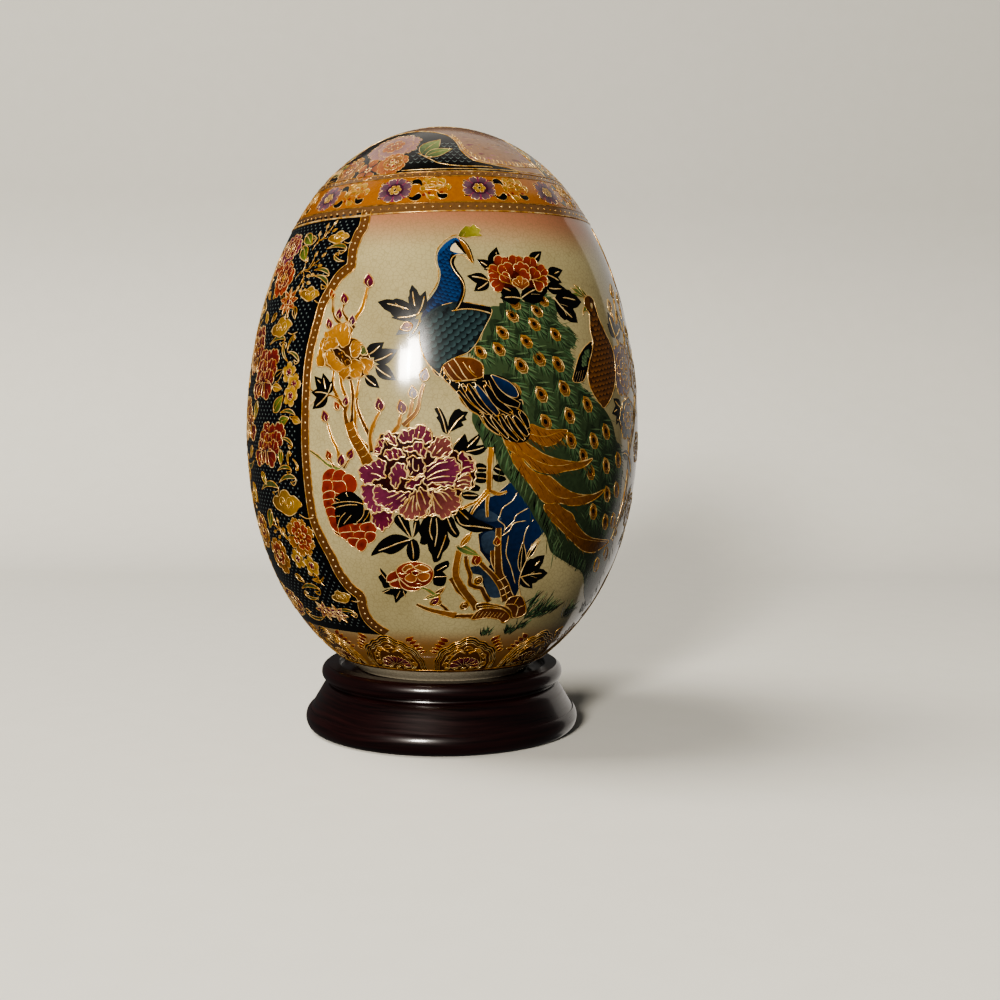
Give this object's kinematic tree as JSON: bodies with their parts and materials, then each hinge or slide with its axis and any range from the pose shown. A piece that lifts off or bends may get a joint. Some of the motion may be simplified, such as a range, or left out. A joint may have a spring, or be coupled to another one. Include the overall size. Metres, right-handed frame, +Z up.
{
  "type": "painted porcelain egg on a turned wooden stand",
  "caption": "Large painted porcelain egg, round end down, resting in the shallow seat of a low turned wooden stand with a beaded rim and a flared base.",
  "frame": {"origin": "middle of the stand's flat underside, on the surface that the object stands on", "axes": "+Z up along the egg's axis; -Y is the front, towards the middle of the painted peacock panel; +X is to the right seen from the front"},
  "size_m": [0.1164, 0.1164, 0.178],
  "materials": {
    "glazed_porcelain": "cream crackle glaze over porcelain, glossy",
    "lacquered_wood": "dark mahogany stain under satin lacquer",
    "enamel": "overglaze enamel colours, glossy",
    "gilding": "raised gilt outlines, soft metallic lustre"
  },
  "bodies": {
    "root": {"egg": "glazed_porcelain", "stand": "lacquered_wood"}
  },
  "joints": []
}
